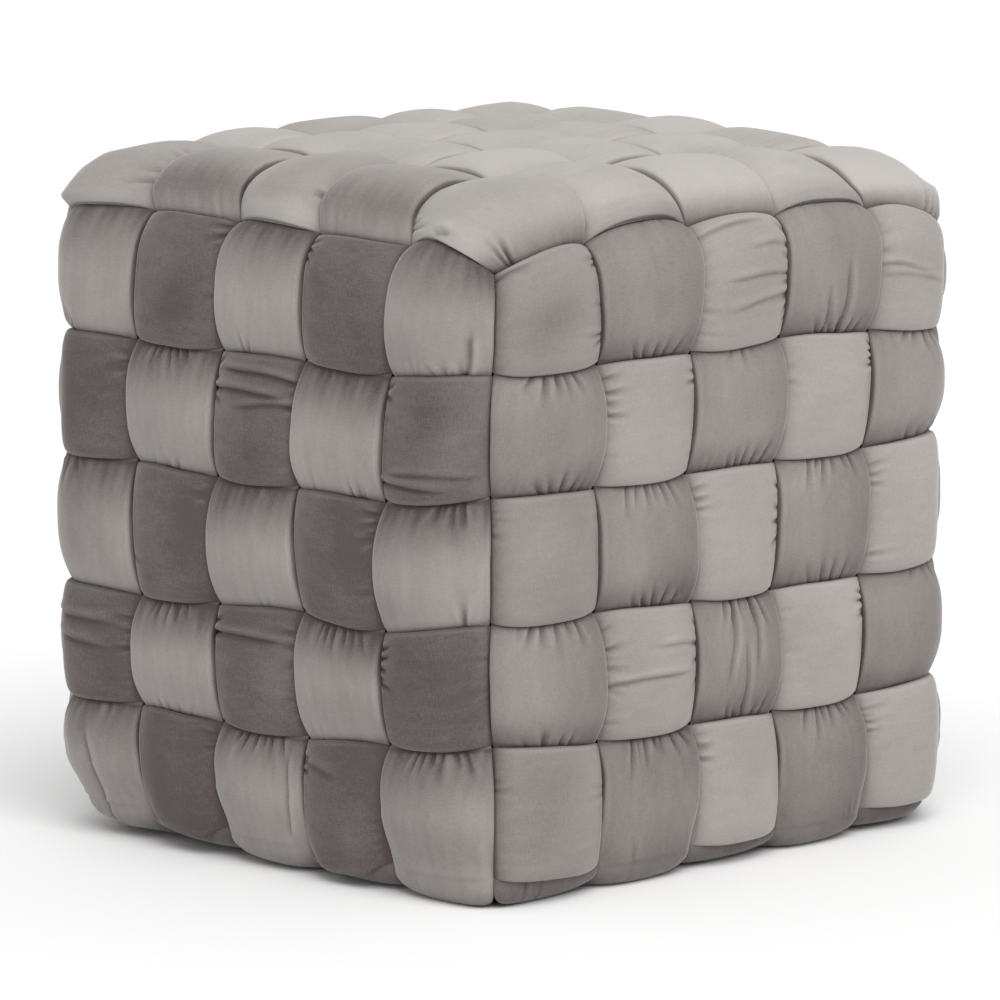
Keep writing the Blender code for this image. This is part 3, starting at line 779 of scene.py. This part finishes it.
def front_painted_shading(number):
    """Painted light and shade of a front strap: light up the front and over the top, with painted shade under
    each band and at the rim.
    """

    def lean(s, x):
        local = np.where(s < 10, np.mod(s, 1), 1 - np.mod(s, 1))
        top_dark = smooth(1 - (1 - local) / 0.55)
        low_dark = smooth(1 - local / 0.10) * (s > 1) * (s < 14)
        on_top = smooth((s - 4.98) / 0.06) * smooth((10.1 - s) / 0.3)
        # The painted shade runs in streaks down from each band.
        broad = 0.5 * np.sin(11 * x + 3 * np.sin(2.1 * s + number))
        streak = broad + 0.4 * np.sin(29 * x + 1.7 * number + 2 * np.sin(3.7 * s))
        walls = 0.59 - (0.53 + 0.03 * (s > 4) + 0.13 * streak - 0.08 * (s < 1)) * top_dark - 0.10 * low_dark
        walls = walls - 0.08 * smooth(2 - 2 * s) + 0.03 * streak
        # Painted light where it comes over the rim, then a painted dark stripe where it turns on to the top.
        turn = np.exp(-((s - 5.27 - 0.03 * streak) / 0.15) ** 2)
        tops = 0.90 - 0.32 * smooth((6.2 - s) / 0.8) - (0.28 + 0.03 * (number == 2) + 0.05 * streak) * turn
        tops = tops - 0.06 * low_dark - 0.12 * top_dark + 0.03 * streak
        # Painted shade on the side that rolls down to the right wall, on the last strap.
        tops = tops - (number == 5) * (0.36 * smooth((x - 0.25) / 0.8) - 0.03)
        return walls * (1 - on_top) + tops * on_top

    return lean


# Painted shade: how light a strap reads under the pouf.
UNDER_PAINTED_SHADE = 0.12  # lightness of the pile under the pouf


def painted_shading_past_foot(painted_shading, seen_at_foot):
    """Painted shade under the pouf, and on a strap that is tucked at the foot also just above it."""
    reach = 0.03 if seen_at_foot else 0.004

    def lean(s, x):
        flap = smooth(-s / reach) + smooth((s - CLIMB) / reach)
        if not seen_at_foot:
            flap = flap + (1 - flap) * (smooth(1 - s / 0.3) + smooth(1 - (CLIMB - s) / 0.3))
        return painted_shading(np.clip(s, 0.0, CLIMB), x) * (1 - flap) + UNDER_PAINTED_SHADE * flap

    return lean


for number in range(1, 6):
    place, over = climbing_path(
        number, 0, 15, lambda across, along: (across, along), lambda a, b: (a + b) % 2 == 1)

    def relief(s, x, number=number, over=over):
        return relief_of(s, x, over, CLIMB, FRONT_CREASES[number], 200 + number, ROW)

    steps = climbing_steps(over)
    strap = lay_strap(f"velvet_front_strap_{number}", place, climbing_run(steps, over), steps, relief,
                      painted_shading_past_foot(front_painted_shading(number), over(0)), False, velvet)
    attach(strap, "root")
    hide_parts(f"front_strap_{number}")

# ---------------------------------------------------------------------------------------------
# Side straps: five more, across the front straps. They climb the right wall, cross the top from
# right to left and go down the left wall. All four corners of the top are side straps.

SIDE_CREASES = {
    1: {
        5: [("start", -0.62, 0.13, 2, 24, 2.6), ("fold", 0.72, -1.0, 0.50, -0.80, 1.6, 2.8),
            ("end", -0.70, 0.10, 2, 12, 1.2)],
        7: [("start", -0.4, 0.1, 2, 14, 1.5)],
        9: [("start", -0.10, 0.45, 4, 16, 1.8), ("end", -0.6, 0.2, 2, 12, 1.5)],
        3: [("end", 0.05, 0.40, 5, 16, 1.8), ("start", 0.15, 0.35, 4, 14, 1.6)],
        1: [("end", 0.10, 0.45, 5, 15, 1.7), ("start", 0.0, 0.45, 4, 13, 1.5)],
        # Its tucked end shows under the lowest band at the near corner, in two soft pleats.
        0: [("fold", -0.006, -0.46, 0.10, -0.42, 0.60, 1.7),
            ("fold", -0.006, -0.18, 0.10, -0.12, 0.50, 1.9)],
    },
    2: {
        4: [("start", 0.05, 0.45, 5, 14, 1.6), ("end", 0.2, 0.3, 2, 8, 0.9)],
        2: [("end", 0.00, 0.50, 6, 16, 1.6), ("start", 0.05, 0.45, 5, 17, 1.7)],
        0: [("end", 0.10, 0.55, 6, 20, 1.9)],
    },
    3: {
        3: [("start", 0.10, 0.45, 5, 14, 1.6), ("end", 0.0, 0.3, 3, 9, 1.0)],
        1: [("end", 0.05, 0.55, 5, 18, 1.9), ("start", 0.1, 0.5, 5, 16, 1.6),
            ("fold", 0.98, -0.20, 0.25, -0.38, 1.4, 2.4),
            ("fold", 0.99, 0.28, 0.35, 0.34, 1.3, 2.2), ("fold", 0.02, 0.02, 0.70, 0.06, 1.2, 2.2)],
    },
    4: {
        4: [("fold", 0.01, 0.12, 0.60, 0.22, 1.6, 2.2), ("fold", 0.02, -0.22, 0.40, -0.18, 1.2, 2.2),
            ("start", 0.1, 0.5, 5, 15, 1.6)],
        2: [("end", 0.05, 0.50, 6, 15, 1.7), ("start", 0.1, 0.45, 4, 14, 1.4)],
        0: [("end", 0.10, 0.50, 6, 19, 1.9)],
    },
    5: {
        3: [("end", 0.05, 0.45, 5, 13, 1.5), ("start", 0.0, 0.3, 3, 9, 1.0)],
        1: [("end", 0.2, 0.3, 3, 10, 1.2)],
        5: [("start", 0.35, 0.30, 4, 18, 1.8)],
    },
}


def side_painted_shading(s, x, number):
    """Painted light and shade of a side strap: mid grey up the right wall, darker at its gathers, and
    lightest over the rim and across the top.
    """
    local = np.mod(s, 1)
    top_dark = smooth(1 - (1 - local) / 0.22)
    low_dark = smooth(1 - local / 0.28) * (0.5 + 0.5 * (s > 1))
    on_top = smooth((s - 4.9) / 0.5) * smooth((10.1 - s) / 0.3)
    # Each strap has painted light left of its middle and painted shade to the right.
    turned = 0.05 * np.exp(-((x + 0.45) / 0.35) ** 2) - 0.07 * smooth((x - 0.2) / 0.7)
    walls = 0.35 + 0.02 * np.clip(s, 0, 5) - 0.06 * top_dark - 0.20 * low_dark - 0.04 * (s < 1) + turned
    walls = walls - (0.02 + 0.03 * (s > 4)) * (number == 2)
    tops = 0.96 - 0.10 * low_dark - 0.12 * top_dark - 0.26 * smooth((s - 7) / 3)
    tops = tops + (0, -0.03, 0.05, 0.03 * smooth(6.5 - s), 0, 0.15)[number]
    if number == 1:
        # The first one has painted shade where it lies flat, and a painted light edge down the front rim.
        flat = 0.25 + 0.75 * smooth((x + 0.85) / 0.4)
        tops = tops - flat * (0.13 + 0.15 * smooth(s - 6)) * (0.43 + 0.57 * smooth((8.6 - s) / 0.6))
    return walls * (1 - on_top) + tops * on_top


for number in range(1, 6):
    place, over = climbing_path(
        number, 5, 20, lambda across, along: (5 - along, across), lambda b, step: (6 - step + b) % 2 == 0)

    def relief(s, x, number=number, over=over):
        return relief_of(s, x, over, CLIMB, SIDE_CREASES[number], 300 + number, ROW)

    def painted_shading(s, x, number=number):
        return side_painted_shading(s, x, number)

    steps = climbing_steps(over)
    strap = lay_strap(f"velvet_side_strap_{number}", place, climbing_run(steps, over), steps, relief,
                      painted_shading_past_foot(painted_shading, over(0)), False, velvet)
    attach(strap, "root")
    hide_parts(f"side_strap_{number}")

# ---------------------------------------------------------------------------------------------
# The studio: a plain white floor that runs on past the picture, one broad soft light from high up
# behind the camera and a little to its right, and pale light all round.

FLOOR_SIZE = 60.0
FLOOR_WHITE = (0.95, 0.95, 0.95, 1.0)
PALE_LIGHT = 0.66

bpy.ops.mesh.primitive_plane_add(size=FLOOR_SIZE)
floor = bpy.context.object
floor.name = "studio_floor"
floor_finish = bpy.data.materials.new("studio_floor")
floor_finish.use_nodes = True
floor_finish.node_tree.nodes["Principled BSDF"].inputs["Base Color"].default_value = FLOOR_WHITE
floor_finish.node_tree.nodes["Principled BSDF"].inputs["Roughness"].default_value = 0.9
floor.data.materials.append(floor_finish)
floor.select_set(False)

world = bpy.data.worlds.new("studio")
bpy.context.scene.world = world
world.use_nodes = True
world.node_tree.nodes["Background"].inputs["Color"].default_value = (1.0, 1.0, 1.0, 1.0)
world.node_tree.nodes["Background"].inputs["Strength"].default_value = PALE_LIGHT

# The soft light is a sun with a wide disc, as a big soft box close by would look.
LIGHT_FROM = Vector((0.58, -0.26, 0.77))
LIGHT_POWER = 1.9
LIGHT_SPREAD = np.radians(50)

bpy.ops.object.light_add(type="SUN", location=3 * LIGHT_FROM)
light = bpy.context.object
light.name = "soft_light"
light.data.energy = LIGHT_POWER
light.data.angle = LIGHT_SPREAD
light.rotation_euler = (-LIGHT_FROM).to_track_quat("-Z", "Y").to_euler()
light.select_set(False)

# The camera stands where the photograph was taken from, as fitted to it: a long lens that looks
# slightly down. Its turn, its tip down and its roll are in degrees.
CAMERA_AT = (3.2475, -3.1083, 0.8862)
CAMERA_TURN, CAMERA_DOWN, CAMERA_ROLL = np.radians((46.276, 8.540, -0.911))
CAMERA_LENS = 252.0

level_share = np.cos(CAMERA_DOWN)
forward = Vector((
    -np.sin(CAMERA_TURN) * level_share,
    np.cos(CAMERA_TURN) * level_share,
    -np.sin(CAMERA_DOWN),
))
level_right = Vector((np.cos(CAMERA_TURN), np.sin(CAMERA_TURN), 0.0))
level_up = level_right.cross(forward)
right = np.cos(CAMERA_ROLL) * level_right + np.sin(CAMERA_ROLL) * level_up
upward = -np.sin(CAMERA_ROLL) * level_right + np.cos(CAMERA_ROLL) * level_up
bpy.ops.object.camera_add(location=CAMERA_AT)
camera = bpy.context.object
turned = Matrix((right, upward, -forward)).transposed()
camera.rotation_euler = turned.to_euler()
camera.data.lens = CAMERA_LENS
camera.data.sensor_width = 36.0
camera.data.clip_end = 50.0
camera.select_set(False)
bpy.context.scene.camera = camera
bpy.context.scene.view_settings.view_transform = "Standard"
